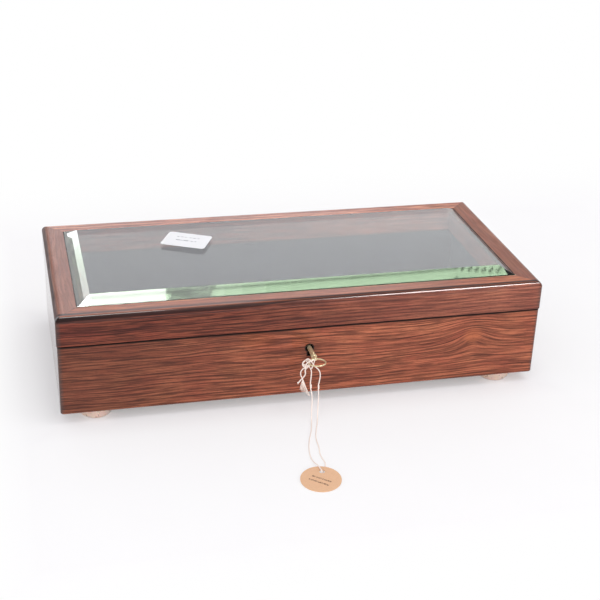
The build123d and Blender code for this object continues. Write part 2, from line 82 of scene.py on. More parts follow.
CAMERA_PLACE = Vector((-0.229785, -0.944193, 0.522061))
CAMERA_AZIMUTH = math.radians(-14.58169)
CAMERA_ELEVATION = math.radians(25.89801)
CAMERA_ROLL = math.radians(2.16991)
CAMERA_LENS = 73.99
# a share of the frame's width: one pixel of 600
CAMERA_SHIFT = -1 / 600


def place_camera():
    """Makes the scene's camera and aims it at the case."""
    flat = math.cos(CAMERA_ELEVATION)
    aside = math.sin(CAMERA_AZIMUTH) * flat
    in_front = math.cos(CAMERA_AZIMUTH) * flat
    back = Vector((aside, -in_front, math.sin(CAMERA_ELEVATION)))
    level_right = (-back).cross(Vector((0, 0, 1))).normalized()
    level_up = level_right.cross(-back)
    right = math.cos(CAMERA_ROLL) * level_right + math.sin(CAMERA_ROLL) * level_up
    up = math.cos(CAMERA_ROLL) * level_up - math.sin(CAMERA_ROLL) * level_right
    turn = Matrix((right, up, back)).transposed().to_4x4()
    data = bpy.data.cameras.new("camera")
    data.sensor_width = 36
    data.lens = CAMERA_LENS
    data.shift_y = CAMERA_SHIFT
    data.clip_start = 0.01
    data.clip_end = 100
    camera = place_object("camera", data)
    camera.matrix_world = Matrix.Translation(CAMERA_PLACE) @ turn
    bpy.context.scene.camera = camera


# ---- shader values ----


class Value:
    """A number, colour or place that changes over a surface. Sums with it become Math nodes."""

    def __init__(self, socket):
        self.socket = socket

    def __add__(self, other):
        return calculate("ADD", self, other)

    def __radd__(self, other):
        return calculate("ADD", other, self)

    def __sub__(self, other):
        return calculate("SUBTRACT", self, other)

    def __rsub__(self, other):
        return calculate("SUBTRACT", other, self)

    def __mul__(self, other):
        return calculate("MULTIPLY", self, other)

    def __truediv__(self, other):
        return calculate("DIVIDE", self, other)

    def __rtruediv__(self, other):
        return calculate("DIVIDE", other, self)

    def __pow__(self, other):
        return calculate("POWER", self, other)

    def __abs__(self):
        return calculate("ABSOLUTE", self)

    def __lt__(self, other):
        return calculate("LESS_THAN", self, other)

    def __gt__(self, other):
        return calculate("GREATER_THAN", self, other)


def tree_of(*values):
    """The shader tree that holds these values. Some of them may be plain numbers or colours."""
    return next(value.socket.id_data for value in values if isinstance(value, Value))


def add_node(tree, kind, **settings):
    """Adds a shader node with the settings given."""
    node = tree.nodes.new(kind)
    for name, value in settings.items():
        setattr(node, name, value)
    return node


def outputs_of(node):
    """A node's outputs by name."""
    return {output.name: Value(output) for output in node.outputs}


def feed(socket, value):
    """Links a value into a socket, or sets a plain one on it."""
    if isinstance(value, Value):
        socket.id_data.links.new(value.socket, socket)
    else:
        socket.default_value = value


def feed_all(node, values):
    """Feeds a node's first inputs in their order, and gives its first output."""
    for socket, value in zip(node.inputs, values):
        feed(socket, value)
    return Value(node.outputs[0])


def calculate(operation, first, second=0.0, clamp=False):
    """A Math node's result."""
    node = add_node(tree_of(first, second), "ShaderNodeMath", operation=operation, use_clamp=clamp)
    return feed_all(node, (first, second))


def calculate_vector(operation, first, second):
    """A Vector Math node's result."""
    node = add_node(tree_of(first, second), "ShaderNodeVectorMath", operation=operation)
    return feed_all(node, (first, second))


def largest(first, *others):
    """The largest of some values."""
    for other in others:
        first = calculate("MAXIMUM", first, other)
    return first


def distance(across, up):
    """How far a point lies from a spot."""
    return calculate("SQRT", across ** 2.0 + up ** 2.0)


def spread(value, low, high, to_low=0.0, to_high=1.0, smooth=False):
    """A value's range from low to high, spread from to_low to to_high."""
    node = add_node(tree_of(value), "ShaderNodeMapRange")
    node.interpolation_type = "SMOOTHSTEP" if smooth else "LINEAR"
    return feed_all(node, (value, low, high, to_low, to_high))


def mix_colours(share, first, second, blend="MIX"):
    """Two colours mixed by a share."""
    tree = tree_of(share, first, second)
    node = add_node(tree, "ShaderNodeMix", data_type="RGBA", blend_type=blend)
    feed(node.inputs[0], share)
    feed(node.inputs[6], first)
    feed(node.inputs[7], second)
    return Value(node.outputs[2])


def mix_shaders(share, first, second):
    """Two shaders mixed by a share."""
    return feed_all(add_node(tree_of(share), "ShaderNodeMixShader"), (share, first, second))


def cloud(place, scale, detail=2.0, roughness=0.5):
    """A noise texture's value."""
    node = add_node(tree_of(place), "ShaderNodeTexNoise")
    feed(node.inputs["Vector"], place)
    feed(node.inputs["Scale"], scale)
    feed(node.inputs["Detail"], detail)
    feed(node.inputs["Roughness"], roughness)
    return outputs_of(node)["Fac"]


def split_vector(vector):
    """The three parts of a vector."""
    node = add_node(tree_of(vector), "ShaderNodeSeparateXYZ")
    feed(node.inputs[0], vector)
    return [Value(part) for part in node.outputs]


def join_vector(x, y, z):
    """A vector made of three parts."""
    return feed_all(add_node(tree_of(x, y, z), "ShaderNodeCombineXYZ"), (x, y, z))


def new_group(name, inputs, outputs):
    """A shader node group: its inputs with their defaults, and the names of its outputs."""
    group = bpy.data.node_groups.new(name, "ShaderNodeTree")
    for label, default in inputs.items():
        kind = "NodeSocketFloat" if isinstance(default, float) else "NodeSocketVector"
        socket = group.interface.new_socket(label, in_out="INPUT", socket_type=kind)
        socket.default_value = default
    for label in outputs:
        group.interface.new_socket(label, in_out="OUTPUT", socket_type="NodeSocketFloat")
    entry = group.nodes.new("NodeGroupInput")
    leave = group.nodes.new("NodeGroupOutput")
    return group, outputs_of(entry), leave.inputs


def use_group(group, **values):
    """Places a node group in a material and feeds its inputs."""
    node = add_node(tree_of(*values.values()), "ShaderNodeGroup", node_tree=group)
    for label, value in values.items():
        feed(node.inputs[label.replace("_", " ")], value)
    return outputs_of(node)


# ---- material helpers ----


def new_material(name, **constants):
    """A material with one Principled shader, its constants set on the shader's sockets."""
    material = bpy.data.materials.new(name)
    material.use_nodes = True
    tree = material.node_tree
    tree.nodes.clear()
    output = add_node(tree, "ShaderNodeOutputMaterial")
    shader = add_node(tree, "ShaderNodeBsdfPrincipled")
    feed(output.inputs["Surface"], Value(shader.outputs[0]))
    for label, value in constants.items():
        shader.inputs[label.replace("_", " ")].default_value = value
    return material, tree, shader


def millimetres(tree):
    """The piece's own coordinates, in millimetres of the row frame at rest."""
    scale = add_node(tree, "ShaderNodeVectorMath", operation="SCALE")
    feed(scale.inputs[0], outputs_of(add_node(tree, "ShaderNodeTexCoord"))["Object"])
    scale.inputs["Scale"].default_value = 1 / MM
    return Value(scale.outputs[0])


def dress(shader, colour, roughness, relief=None, depth=0.0, strength=1.0):
    """Feeds a shader its colour and roughness, and its relief through a Bump node."""
    feed(shader.inputs["Base Color"], colour)
    feed(shader.inputs["Roughness"], roughness)
    if relief:
        node = add_node(tree_of(relief), "ShaderNodeBump")
        node.inputs["Strength"].default_value = strength
        node.inputs["Distance"].default_value = depth
        feed(node.inputs["Height"], relief)
        feed(shader.inputs["Normal"], Value(node.outputs[0]))


# ---- shared effects, in millimetres ----

SWIRL_HALF_LENGTH = 21.0
SWIRL_HALF_WIDTH = 17.0
GROWTH_SPACING = 3.0


def make_timber_figure():
    """Bands, streaks and pores of dark figured timber, in board coordinates.

    Board is in millimetres, X along the grain. A swirl bends the streaks round one spot."""
    group, entry, leave = new_group(
        "timber_figure",
        {
            "Board": (0.0, 0.0, 0.0),
            "Shift": (0.0, 0.0, 0.0),
            "Streak Width": 1.7,
            "Swirl Place": (0.0, 0.0, 0.0),
            "Swirl Height": 0.0,
        },
        ("Bands", "Streaks", "Growth", "Lines", "Pores", "Mottle", "Swell"),
    )
    along, across, deep = split_vector(calculate_vector("ADD", entry["Board"], entry["Shift"]))

    def sway(length, width):
        """A slow wave about zero, so that no streak runs dead straight."""
        place = join_vector(along / length, across / width, deep / width)
        return cloud(place, 1.0, 1.5) - 0.5

    # the swirl: streaks rise over a spot and close again behind it
    from_spot = calculate_vector("SUBTRACT", entry["Board"], entry["Swirl Place"])
    spot_x, spot_y = split_vector(from_spot)[:2]
    reach = (spot_x / SWIRL_HALF_LENGTH) ** 2.0 + (spot_y / SWIRL_HALF_WIDTH) ** 2.0
    swell = (1.0 + reach) ** -1.7
    # the ring coordinate: millimetres across the streaks
    ring = deep * 0.55 + across
    ring = sway(150.0, 60.0) * 8.0 + ring
    ring = sway(38.0, 16.0) * 1.2 + ring + swell * entry["Swirl Height"]

    def streak(length, width, detail, rough, offset):
        """Noise drawn out along the grain. The offset keeps each kind of mark apart."""
        place = join_vector(along / length, ring / width, offset)
        return cloud(place, 1.0, detail, rough)

    broad = streak(230.0, entry["Streak Width"] * 4.0, 2.0, 0.5, 3.0)
    medium = streak(42.0, entry["Streak Width"], 2.0, 0.55, 7.0)
    fine = streak(22.0, entry["Streak Width"] * 0.55, 1.5, 0.5, 11.0)
    pore = streak(4.0, 0.26, 1.0, 0.5, 17.0)
    mottle = streak(32.0, 18.0, 3.0, 0.55, 23.0)
    # growth lines: long thin dark lines a few millimetres apart, which wander and fade
    wander = streak(75.0, 9.0, 2.0, 0.5, 31.0)
    phase = ring * (2 * math.pi / GROWTH_SPACING) + wander * 5.0
    thin = spread(calculate("SINE", phase), 0.1, 0.8, smooth=True)
    strength = spread(streak(60.0, 2.6, 1.0, 0.5, 37.0), 0.36, 0.54)
    feed(leave["Growth"], thin * strength)
    feed(leave["Swell"], swell)
    feed(leave["Bands"], spread(broad, 0.38, 0.64, smooth=True))
    feed(leave["Streaks"], spread(medium, 0.49, 0.60, smooth=True))
    feed(leave["Lines"], spread(fine, 0.44, 0.60, smooth=True))
    feed(leave["Pores"], spread(pore, 0.60, 0.72))
    feed(leave["Mottle"], spread(mottle, 0.3, 0.7))
    return group


def make_corner_shade():
    """A thin dark line where two mitred sides meet: Shade is 1 on the joint and fades beside it."""
    group, entry, leave = new_group(
        "mitre_shade",
        {"Place": (0.0, 0.0, 0.0), "Half Length": HALF_LENGTH, "Half Depth": HALF_DEPTH, "Line": 0.35},
        ("Shade",),
    )
    x, y = split_vector(entry["Place"])[:2]
    from_end = entry["Half Length"] - abs(x)
    from_side = entry["Half Depth"] - abs(y)
    gap = abs(from_end - from_side)
    feed(leave["Shade"], spread(gap, entry["Line"], 0.0, smooth=True))
    return group


def make_wear():
    """Blotches of handling: Mask runs from 0 to 1 at the scale given, in millimetres."""
    group, entry, leave = new_group(
        "handling_wear",
        {"Place": (0.0, 0.0, 0.0), "Size": 12.0, "Amount": 0.5},
        ("Mask",),
    )
    blotch = cloud(entry["Place"], 1.0 / entry["Size"], 4.0, 0.6)
    start = 0.95 - entry["Amount"] * 0.75
    feed(leave["Mask"], spread(blotch, start, start + 0.22, smooth=True))
    return group


timber_figure = make_timber_figure()
mitre_shade = make_corner_shade()
handling_wear = make_wear()


# ---- wood ----

CASE_TONES = {
    "light": (0.45, 0.138, 0.072, 1),
    "heart": (0.33, 0.094, 0.050, 1),
    "dark": (0.060, 0.018, 0.011, 1),
}
LID_TONES = {
    "light": (0.225, 0.056, 0.031, 1),
    "heart": (0.140, 0.033, 0.020, 1),
    "dark": (0.018, 0.005, 0.004, 1),
}
LID_RIGHT_TONES = {
    "light": (0.39, 0.132, 0.080, 1),
    "heart": (0.29, 0.092, 0.056, 1),
    "dark": (0.105, 0.035, 0.026, 1),
}
LID_TOP_TONES = {
    "light": (0.47, 0.150, 0.066, 1),
    "heart": (0.34, 0.098, 0.044, 1),
    "dark": (0.21, 0.068, 0.037, 1),
}
# the back piece's top tones are lighter: a painted highlight
LID_BACK_TOP_HIGHLIGHT_TONES = {
    "light": (0.66, 0.28, 0.170, 1),
    "heart": (0.48, 0.18, 0.105, 1),
    "dark": (0.17, 0.065, 0.048, 1),
}
LID_SIDE_TONES = {
    "light": (0.305, 0.113, 0.064, 1),
    "heart": (0.25, 0.088, 0.050, 1),
    "dark": (0.20, 0.072, 0.043, 1),
}


def blend_tones(share, tones, other):
    """The three tones of a board, mixed towards another set by a share."""
    return {tone: mix_colours(share, tones[tone], other[tone]) for tone in ("light", "heart", "dark")}


def lid_edge(x, y, z, on_top):
    """Painted shade along the lid's upper edge, standing in for its dark reflection: how much there is,
    how dark it is and how dull the polish is there.
    """
    # painted shade on the round: low on it at the left end, a thin line at its very top at the right
    to_right = spread(x, -65.0, -5.0, smooth=True)
    below_top = LID_TOP - z
    begun = spread(below_top, 0.03, 0.33)
    still = spread(spread(to_right, 0.0, 1.0, 3.3, 0.9) - below_top, 0.0, 0.5)
    on_round = calculate("MULTIPLY", begun, still, clamp=True) * spread(y, -86.0, -90.0, 0.2, 1.0)
    # a fainter line of painted shade runs along the flat: set in a little at the left, at its end at
    # the right, where the polish is worn dull
    set_in = spread(to_right, 0.0, 1.0, 2.4, 0.5)
    off_line = abs(y + (HALF_DEPTH - LID_ROUND) - set_in)
    edge_shade = largest(on_round, spread(off_line, 2.6, 0.7, 0.0, 0.95) * on_top)
    edge_shade_depth = largest(spread(x, -130.0, -190.0, 0.82, 0.97), to_right * 0.96)
    # the polish is thin on the flat towards the right end, and on the round of the left end
    thin = on_top * spread(x, 40.0, 190.0, 0.0, 0.85, smooth=True)
    left_round = spread(x, -193.5, -196.0, 0.0, 0.8) * (y > -89.0)
    return edge_shade, edge_shade_depth, largest(edge_shade * to_right, thin, left_round)


def glass_line(x, y, z):
    """The open line round the glass, and its clean stretch along the front."""
    rebate = (abs(x) < GLASS_LINE_X) * (abs(y) < GLASS_LINE_Y) * (z > GLASS_LINE_LEVEL)
    return rebate, rebate * (y < CLEAN_LINE_Y)


def keyhole_shade_and_grime(x, y, z):
    """Painted shade in the keyhole and round its rim, and a thumb's breadth of darker polish round it."""
    across = x - KEY_X
    gap = distance(across, z - KEYHOLE_MIDDLE)
    ring = spread(distance(across, z - KEY_Z), 4.5, 3.7, 0.0, 0.95, smooth=True)
    beside = spread(abs(across), 2.7, 1.9, 0.0, 0.95, smooth=True)
    under = (z > KEYHOLE_FOOT) * (z < KEY_Z)
    halo = spread(gap, 12.0, 4.0, 0.0, 0.3, smooth=True)
    inside = spread(gap, 9.0, 8.0) * spread(y, -93.48, -93.2)
    return largest(ring, beside * under, halo, inside)


def polished_rosewood(name, along, tones, shift, top_tones=None, swirl=None, keyhole=False):
    """Figured rosewood under worn French polish. along is the axis that the grain follows."""
    material, tree, shader = new_material(
        name, Coat_Roughness=0.07, Coat_IOR=1.5, Specular_IOR_Level=0.1
    )
    place = millimetres(tree)
    x, y, z = split_vector(place)
    board = join_vector(x, z, y) if along == "X" else join_vector(y, z, x)
    swirl_place, swirl_height = swirl or ((0.0, 0.0, 0.0), 0.0)
    figure = use_group(
        timber_figure,
        Board=board,
        Shift=shift,
        Streak_Width=1.5,
        Swirl_Place=swirl_place,
        Swirl_Height=swirl_height,
    )
    if top_tones:
        # the lid's sides are dark at the left and lighter towards the right end; its flat top has faded
        # lighter, and on the back piece the top's lighter tone is a painted highlight
        tones = blend_tones(spread(x, -110.0, 190.0, smooth=True), tones, LID_RIGHT_TONES)
        on_top = spread(z, LID_TOP - 1.0, LID_TOP - 0.05, smooth=True)
        tones = blend_tones(on_top, tones, top_tones)
    dark = tones["dark"]
    base = mix_colours(figure["Bands"], tones["light"], tones["heart"])
    ruddy = mix_colours(figure["Mottle"], (0.92, 0.80, 0.82, 1), (1.10, 1.18, 1.10, 1))
    base = mix_colours(1.0, base, ruddy, "MULTIPLY")
    streak_share, growth_share = 0.6, 0.66
    if not top_tones:
        darker_end = spread(x, 30.0, -190.0, smooth=True)
        base = mix_colours(darker_end, base, mix_colours(1.0, base, (0.52, 0.54, 0.56, 1), "MULTIPLY"))
        streak_share = spread(darker_end, 0.0, 1.0, streak_share, 0.78)
    if swirl:
        # the heart of the swirl is a clear, lighter brown
        clear_heart = spread(figure["Swell"], 0.66, 0.95, smooth=True)
        base = mix_colours(clear_heart * 0.5, base, (0.50, 0.15, 0.06, 1))
        streak_share = spread(clear_heart, 0.0, 1.0, streak_share, 0.15)
        growth_share = spread(clear_heart, 0.0, 1.0, growth_share, 0.1)
    streaked = mix_colours(figure["Streaks"] * streak_share, base, dark)
    streaked = mix_colours(figure["Growth"] * growth_share, streaked, dark)
    lined = mix_colours(figure["Lines"] * 0.5, streaked, dark)
    colour = mix_colours(figure["Pores"] * 0.5, lined, (0.016, 0.008, 0.006, 1))
    # dirt in the mitres, darker upright corners, and painted shade along the joint under the lid
    mitre = use_group(mitre_shade, Place=place)["Shade"] * 0.85
    corner = spread(abs(x), 195.0, 199.2, 0.0, 0.5, smooth=True)
    outermost = spread(largest(abs(x) - HALF_LENGTH, abs(y) - HALF_DEPTH), -2.6, -1.2, 0.74, 1.0)
    joint = spread(abs(z - JOINT_LEVEL), 1.3, 0.6, 0.0, 0.92, smooth=True) * outermost
    shade = largest(mitre, corner, joint)
    dull = 0.0
    if top_tones:
        edge_shade, edge_shade_depth, dull = lid_edge(x, y, z, on_top)
        # painted shade along the lid's top edge
        grime_and_shade = mix_colours(edge_shade_depth, (0.050, 0.010, 0.008, 1), (0.016, 0.006, 0.005, 1))
        colour = mix_colours(edge_shade * edge_shade_depth, colour, grime_and_shade)
        # painted shade: the wood in the open line round the glass is darkened nearly to black
        rebate, clean = glass_line(x, y, z)
        shade = calculate("SUBTRACT", largest(shade, rebate * 0.93), clean, clamp=True)
        colour = mix_colours(clean, colour, (0.60, 0.54, 0.34, 1))
    if keyhole:
        # painted shade in and round the keyhole, with darker polish round it
        shade = largest(shade, keyhole_shade_and_grime(x, y, z))
    dirt_and_shade = mix_colours(shade, colour, (0.010, 0.005, 0.004, 1))
    relief = figure["Pores"] * -0.7 + figure["Lines"]
    dress(shader, dirt_and_shade, spread(figure["Lines"], 0.0, 1.0, 0.42, 0.55), relief, 0.00005, 0.5)
    # the polish is full on the lid's top edge and thinner down the upright sides
    worn = use_group(handling_wear, Place=place, Size=38.0, Amount=0.5)["Mask"]
    fullness = spread(z, LID_TOP - 5.5, LID_TOP - 3.5, 0.36, 1.0) * (1.0 - dull)
    coat = spread(worn, 0.0, 1.0, 0.75, 0.5) * fullness
    # and full again on the upright ends
    ends = spread(abs(x), 194.5, 198.5, 0.0, 0.95, smooth=True)
    ends = ends * spread(z, LID_TOP - 2.5, LID_TOP - 4.3)
    feed(shader.inputs["Coat Weight"], largest(coat, ends))
    return material


case_front_wood = polished_rosewood(
    "rosewood_front",
    "X",
    CASE_TONES,
    (40.0, 12.0, 0.0),
    swirl=((142.0, 49.0, -93.5), -11.0),
    keyhole=True,
)
case_back_wood = polished_rosewood("rosewood_back", "X", CASE_TONES, (-310.0, 55.0, 10.0))
case_side_wood = polished_rosewood("rosewood_side", "Y", CASE_TONES, (170.0, -35.0, 20.0))
lid_front_wood = polished_rosewood("rosewood_lid_front", "X", LID_TONES, (620.0, 30.0, 5.0), LID_TOP_TONES)
lid_back_wood = polished_rosewood("rosewood_lid_back", "X", LID_TONES, (-620.0, 71.0, 5.0), LID_BACK_TOP_HIGHLIGHT_TONES)
lid_side_wood = polished_rosewood("rosewood_lid_side", "Y", LID_TONES, (260.0, 94.0, 31.0), LID_SIDE_TONES)


def plain_board():
    """The bottom board: dull, unpolished wood with a straight grain."""
    material, tree, shader = new_material("plain_board", Specular_IOR_Level=0.3)
    figure = use_group(timber_figure, Board=millimetres(tree), Streak_Width=4.0)
    base = mix_colours(figure["Bands"], (0.32, 0.19, 0.105, 1), (0.22, 0.125, 0.065, 1))
    lined = mix_colours(figure["Lines"] * 0.5, base, (0.13, 0.07, 0.035, 1))
    dress(shader, lined, spread(figure["Lines"], 0.0, 1.0, 0.6, 0.8), figure["Lines"], 0.0001, 0.6)
    return material


def velvet():
    """Short dark velvet: a soft sheen at grazing angles, and the pile brushed in patches."""
    material, tree, shader = new_material(
        "dark_velvet",
        Specular_IOR_Level=0.1,
        Sheen_Weight=0.55,
        Sheen_Roughness=0.35,
        Sheen_Tint=(0.62, 0.66, 0.8, 1),
    )
    place = millimetres(tree)
    brushed = use_group(handling_wear, Place=place, Size=30.0, Amount=0.6)
    pile = cloud(place, 3.5, 2.0)
    deep = mix_colours(pile, (0.014, 0.016, 0.028, 1), (0.036, 0.040, 0.062, 1))
    colour = mix_colours(brushed["Mask"] * 0.5, deep, (0.055, 0.060, 0.082, 1))
    dress(shader, colour, spread(pile, 0.0, 1.0, 0.85, 1.0), pile, 0.0003, 0.7)
    return material


# ---- glass, mastic, paper ----


def plate_glass():
    """Thick old plate glass, green where one looks along it. Its shadow is left light."""
    material, tree, shader = new_material(
        "plate_glass",
        Base_Color=(0.985, 1.0, 0.99, 1),
        Roughness=0.035,
        IOR=1.52,
        Transmission_Weight=1.0,
    )
    output = tree.nodes["Material Output"]
    clear = add_node(tree, "ShaderNodeBsdfTransparent")
    clear.inputs["Color"].default_value = (0.88, 0.93, 0.9, 1)
    shadow_ray = outputs_of(add_node(tree, "ShaderNodeLightPath"))["Is Shadow Ray"]
    mixed = mix_shaders(shadow_ray, Value(shader.outputs[0]), Value(clear.outputs[0]))
    feed(output.inputs["Surface"], mixed)
    tint = add_node(tree, "ShaderNodeVolumeAbsorption")
    tint.inputs["Color"].default_value = (0.26, 0.47, 0.17, 1)
    tint.inputs["Density"].default_value = 8.0
    feed(output.inputs["Volume"], Value(tint.outputs[0]))
    return material


def bedding_mastic():
    """The dark compound that beds the glass. Along the front it is clean and pale."""
    material, tree, shader = new_material("bedding_mastic", Specular_IOR_Level=0.3)
    place = millimetres(tree)
    x, y = split_vector(place)[:2]
    grime_and_shade = cloud(place, 0.8, 3.0)
    black = mix_colours(grime_and_shade, (0.02, 0.017, 0.015, 1), (0.07, 0.055, 0.045, 1))
    cream = mix_colours(grime_and_shade, (0.60, 0.54, 0.33, 1), (0.78, 0.74, 0.52, 1))
    clean = (y < -75.6) * spread(abs(x), 180.0, 176.0)
    dress(shader, mix_colours(clean, black, cream), spread(grime_and_shade, 0.0, 1.0, 0.6, 0.9))
    return material


def ruled_lines(place, centre, turn_by, lines, worn_scale):
    """How much ink lies here: short worn ruled lines as (height, half thickness, half length)."""
    turn = add_node(tree_of(place), "ShaderNodeVectorRotate", rotation_type="Z_AXIS")
    feed(turn.inputs["Vector"], place)
    turn.inputs["Center"].default_value = (*centre, 0)
    turn.inputs["Angle"].default_value = math.radians(turn_by)
    from_middle = calculate_vector("SUBTRACT", Value(turn.outputs[0]), (*centre, 0))
    u, v = split_vector(from_middle)[:2]
    ink = 0.0
    for height, thick, reach in lines:
        ink = largest(ink, (abs(v - height) < thick) * (abs(u) < reach))
    worn = spread(cloud(place, worn_scale, 2.0), 0.42, 0.58, 0.1, 0.9)
    return ink * worn


def label_paper():
    """Satin white paper with two faint ruled lines."""
    material, tree, shader = new_material(
        "label_paper",
        Specular_IOR_Level=0.4,
        Subsurface_Weight=0.6,
        Subsurface_Radius=(1.0, 1.0, 1.0),
        Subsurface_Scale=0.001,
    )
    place = millimetres(tree)
    fibre = cloud(place, 1.6, 3.0)
    paper = mix_colours(fibre, (0.95, 0.95, 0.955, 1), (0.985, 0.985, 0.98, 1))
    worn = ruled_lines(place, LABEL_PLACE, 26, ((5.5, 0.45, 10.0), (-1.5, 0.7, 9.0)), 0.5)
    inked = mix_colours(worn, paper, (0.24, 0.25, 0.28, 1))
    dress(shader, inked, spread(fibre, 0.0, 1.0, 0.42, 0.58), fibre, 0.00005, 0.4)
    return material


# ---- metal ----


def worn_brass(name, bright, dull, bright_roughness, dull_roughness, painted_shade_beyond=None, metallic=1.0):
    """Brass with tarnish in blotches and fine scratches in its finish."""
    material, tree, shader = new_material(name, Metallic=metallic)
    place = millimetres(tree)
    tarnish = use_group(handling_wear, Place=place, Size=3.4, Amount=0.5)["Mask"]
    speck = cloud(place, 2.2, 3.0, 0.65)
    colour = mix_colours(tarnish, bright, dull)
    darker = mix_colours(1.0, colour, (0.78, 0.76, 0.72, 1), "MULTIPLY")
    colour = mix_colours(speck, darker, colour)
    if painted_shade_beyond:
        # painted shade: what lies deep in the keyhole is painted near black
        y = split_vector(place)[1]
        colour = mix_colours(y < painted_shade_beyond, colour, (0.02, 0.016, 0.01, 1))
    rough = spread(tarnish, 0.0, 1.0, bright_roughness, dull_roughness)
    dress(shader, colour, speck * 0.12 + rough, speck, 0.00004, 0.5)
    return material


# ---- card, string and feet ----


def buff_card():
    """Buff card with fibres and a few dark flecks."""
    material, tree, shader = new_material("buff_card", Specular_IOR_Level=0.25)
    place = millimetres(tree)
    fibre = cloud(place, 1.8, 4.0, 0.65)
    fleck = spread(cloud(place, 3.1, 2.0), 0.66, 0.72)
    card = mix_colours(fibre, (0.58, 0.335, 0.19, 1), (0.86, 0.56, 0.35, 1))
    soiled = mix_colours(fleck * 0.45, card, (0.25, 0.14, 0.08, 1))
    ink = ruled_lines(place, TICKET_PLACE, 40, ((2.6, 0.7, 8.0), (-2.0, 0.8, 8.5)), 0.9)
    written = mix_colours(ink, soiled, (0.13, 0.055, 0.03, 1))
    dress(shader, written, spread(fibre, 0.0, 1.0, 0.7, 0.9), fibre, 0.0001, 0.6)
    return material


def cotton():
    """Soft white cotton, with its twist and loose fibres in the bump."""
    material, tree, shader = new_material(
        "string_cotton", Specular_IOR_Level=0.2, Sheen_Weight=0.3, Sheen_Roughness=0.5
    )
    fibre = cloud(millimetres(tree), 2.6, 3.0)
    yarn = mix_colours(fibre, (0.78, 0.64, 0.55, 1), (0.94, 0.86, 0.79, 1))
    dress(shader, yarn, spread(fibre, 0.0, 1.0, 0.8, 0.95), fibre, 0.0002, 0.6)
    return material


def soft_foot_rubber():
    """Pale translucent rubber, tinted peach: a painted stand-in for the wood seen through it."""
    material, tree, shader = new_material(
        "foot_rubber",
        IOR=1.42,
        Transmission_Weight=0.35,
        Subsurface_Weight=0.4,
        Subsurface_Radius=(0.9, 0.55, 0.35),
        Subsurface_Scale=0.004,
    )
    bloom = cloud(millimetres(tree), 0.35, 3.0)
    pale = mix_colours(bloom, (0.87, 0.61, 0.49, 1), (0.94, 0.76, 0.66, 1))
    dress(shader, pale, spread(bloom, 0.2, 0.8, 0.22, 0.42))
    return material


# ---- modelling helpers ----


def place_piece(name, data, body, replaced):
    """Adds a mesh or curve as a piece that rides on a body and may stand for CAD nodes."""
    piece = place_object(name, data)
    if replaced:
        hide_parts(*replaced)
    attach(piece, body)
    return piece


def mesh_piece(name, form, material, body, replaced, smooth_below):
    """Turns a bmesh in millimetres into a named piece on a body."""
    bmesh.ops.remove_doubles(form, verts=form.verts, dist=0.0005)
    bmesh.ops.recalc_face_normals(form, faces=form.faces)
    bmesh.ops.scale(form, vec=(MM, MM, MM), verts=form.verts)
    mesh = bpy.data.meshes.new(name)
    form.to_mesh(mesh)
    form.free()
    mesh.materials.append(material)
    for face in mesh.polygons:
        face.use_smooth = True
    mesh.set_sharp_from_angle(angle=math.radians(smooth_below))
    place_piece(name, mesh, body, replaced)


def add_lathe(form, profile, steps, place):
    """Adds a turned form. profile is (radius, height) pairs; place turns (x, y, height) into a point."""
    rings = []
    for radius, height in profile:
        if radius < 1e-6:
            rings.append([form.verts.new(place(0.0, 0.0, height))])
            continue
        ring = []
        for step in range(steps):
            angle = 2 * math.pi * step / steps
            ring.append(form.verts.new(place(radius * math.cos(angle), radius * math.sin(angle), height)))
        rings.append(ring)
    for lower, upper in zip(rings, rings[1:]):
        for step in range(steps):
            after = (step + 1) % steps
            corners = [
                lower[step % len(lower)],
                lower[after % len(lower)],
                upper[after % len(upper)],
                upper[step % len(upper)],
            ]
            # at a point on the axis two corners are one
            form.faces.new(dict.fromkeys(corners))


def add_swept_ring(form, path, section):
    """Adds a closed tube: section is (outward, up) pairs at each (point, outward, up) of the path."""
    rings = []
    for point, outward, up in path:
        rings.append([form.verts.new(point + outward * across + up * high) for across, high in section])
    for index, ring in enumerate(rings):
        following = rings[(index + 1) % len(rings)]
        for corner in range(len(section)):
            after = (corner + 1) % len(section)
            form.faces.new((ring[corner], following[corner], following[after], ring[after]))


def add_block(form, low, high, bevel):
    """Adds a box between two corners, its edges bevelled."""
    verts = bmesh.ops.create_cube(form, size=1.0)["verts"]
    middle = (Vector(low) + Vector(high)) / 2
    size = Vector(high) - Vector(low)
    for vert in verts:
        vert.co = vert.co * size + middle
    edges = {edge for vert in verts for edge in vert.link_edges}
    bmesh.ops.bevel(form, geom=list(edges), offset=bevel, segments=2, affect="EDGES")


# ---- feet ----

FOOT_HEIGHT = 9.0
FOOT_RADIUS = 13.75
FOOT_SOLE = 10.4
FOOT_DOME = 4.6
FOOT_RIM = 0.35
FOOT_LIP = 0.25


def bumper_foot(node):
    """One stick-on bumper: a low dome, flat where it stands, with a moulded rim at the top."""
    low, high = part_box(node)
    centre_x = (low.x + high.x) / 2 / MM
    centre_y = (low.y + high.y) / 2 / MM
    profile = [(0.0, 0.35), (3.2, 0.3), (FOOT_SOLE - 1.0, 0.0), (FOOT_SOLE, 0.05)]
    steps = 9
    for step in range(1, steps + 1):
        turn = math.radians(90 * step / steps)
        radius = FOOT_SOLE + (FOOT_RADIUS - FOOT_RIM - FOOT_SOLE) * math.sin(turn)
        profile.append((radius, 0.05 + FOOT_DOME * (1 - math.cos(turn))))
    profile += [(FOOT_RADIUS - FOOT_LIP, 7.4), (FOOT_RADIUS, 7.9), (FOOT_RADIUS, 8.7)]
    profile += [(FOOT_RADIUS - FOOT_LIP, FOOT_HEIGHT - 0.02), (0.0, FOOT_HEIGHT - 0.01)]
    form = bmesh.new()
    add_lathe(form, profile, 64, lambda x, y, z: (centre_x + x, centre_y + y, z))
    mesh_piece(f"bumper_{node}", form, foot_rubber, "case", (node,), 60)


# ---- key ----

